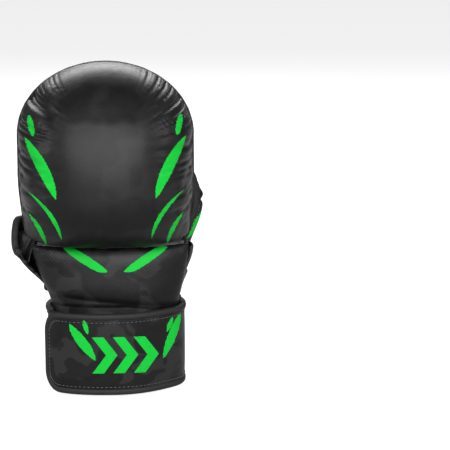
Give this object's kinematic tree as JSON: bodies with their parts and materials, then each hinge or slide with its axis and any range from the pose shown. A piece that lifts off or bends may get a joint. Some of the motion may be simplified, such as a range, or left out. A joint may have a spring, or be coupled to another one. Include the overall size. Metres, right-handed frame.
{
  "type": "mma sparring glove",
  "caption": "Padded open-palm sparring glove for the left hand: moulded knuckle hood, finger sleeves, padded thumb guard and a wide wrap-round wrist strap that fastens on itself.",
  "frame": {"origin": "centre of the wrist opening, on the plane that the cuff stands on", "axes": "+Z from the wrist towards the fingers, -Y out of the back of the hand, +Y out of the palm, +X towards the thumb"},
  "size_m": [0.1604, 0.1251, 0.27],
  "materials": {
    "printed_leather": "semi-gloss synthetic leather with dark printed patches and bright green flashes",
    "plain_leather": "semi-gloss synthetic leather",
    "sleeve_leather": "thin glossy synthetic leather, creased",
    "binding": "matt rolled binding tape",
    "lining": "brushed knitted cloth",
    "webbing": "woven backing",
    "loop_pile": "looped pile",
    "hook_tape": "moulded hooks",
    "label": "printed pale blocks",
    "dense_foam": "closed-cell foam",
    "soft_foam": "moulded soft foam"
  },
  "bodies": {
    "cuff": {"cuff_lining": "lining", "cuff_padding": "soft_foam", "cuff_shell": "plain_leather", "cuff_top_binding": "binding", "back_panel_lining": "lining", "back_panel_foam": "dense_foam", "back_panel_cover": "printed_leather", "heel_wrap": "printed_leather", "heel_wrap_binding": "binding", "thenar_panel": "printed_leather", "thumb_side_panel": "plain_leather", "strap_wrap_cover": "printed_leather", "strap_wrap_core": "webbing", "strap_bottom_binding": "binding", "strap_top_binding": "binding", "loop_patch": "loop_pile", "size_label": "label"},
    "strap_flap": {"strap_flap_cover": "printed_leather", "strap_flap_core": "webbing", "strap_flap_binding": "binding", "hook_patch": "hook_tape"},
    "knuckle_pad": {"knuckle_lining": "lining", "knuckle_foam_dense": "dense_foam", "knuckle_foam_soft": "soft_foam", "knuckle_cover": "printed_leather", "rim_binding": "binding", "palm_strip": "plain_leather", "palm_strip_binding": "binding", "grip_roll_cover": "plain_leather", "grip_roll_core": "dense_foam"},
    "little_finger": {"little_finger_sleeve": "sleeve_leather"},
    "ring_finger": {"ring_finger_sleeve": "sleeve_leather"},
    "middle_finger": {"middle_finger_sleeve": "sleeve_leather"},
    "index_finger": {"index_finger_sleeve": "sleeve_leather"},
    "thumb_guard": {"thumb_lining": "lining", "thumb_foam": "soft_foam", "thumb_cover": "printed_leather", "thumb_binding": "binding", "thumb_loop": "sleeve_leather"}
  },
  "joints": [
    {"name": "strap_peel", "type": "hinge", "parent": "cuff", "child": "strap_flap", "pos_m": [0.0582, -0.00515, 0.036], "axis": [0, 0, 1], "range_deg": [0, 140]},
    {"name": "knuckle_flex", "type": "hinge", "parent": "cuff", "child": "knuckle_pad", "pos_m": [-0.007, -0.018, 0.123], "axis": [-1, 0, 0], "range_deg": [-6, 9], "stiffness_Nm_per_rad": 1.5},
    {"name": "little_finger_bend", "type": "hinge", "parent": "knuckle_pad", "child": "little_finger", "pos_m": [0, 0.0249, 0.1825], "axis": [-1, 0, 0], "range_deg": [0, 25], "stiffness_Nm_per_rad": 0.05},
    {"name": "ring_finger_bend", "type": "hinge", "parent": "knuckle_pad", "child": "ring_finger", "pos_m": [0, 0.0255, 0.1946], "axis": [-1, 0, 0], "range_deg": [0, 25], "stiffness_Nm_per_rad": 0.05},
    {"name": "middle_finger_bend", "type": "hinge", "parent": "knuckle_pad", "child": "middle_finger", "pos_m": [0, 0.0252, 0.1946], "axis": [-1, 0, 0], "range_deg": [0, 25], "stiffness_Nm_per_rad": 0.05},
    {"name": "index_finger_bend", "type": "hinge", "parent": "knuckle_pad", "child": "index_finger", "pos_m": [0, 0.0224, 0.1825], "axis": [-1, 0, 0], "range_deg": [0, 25], "stiffness_Nm_per_rad": 0.05},
    {"name": "thumb_spread", "type": "hinge", "parent": "cuff", "child": "thumb_guard", "pos_m": [0.0605, 0.036, 0.097], "axis": [0, 1, 0], "range_deg": [0, 20], "stiffness_Nm_per_rad": 0.4}
  ]
}
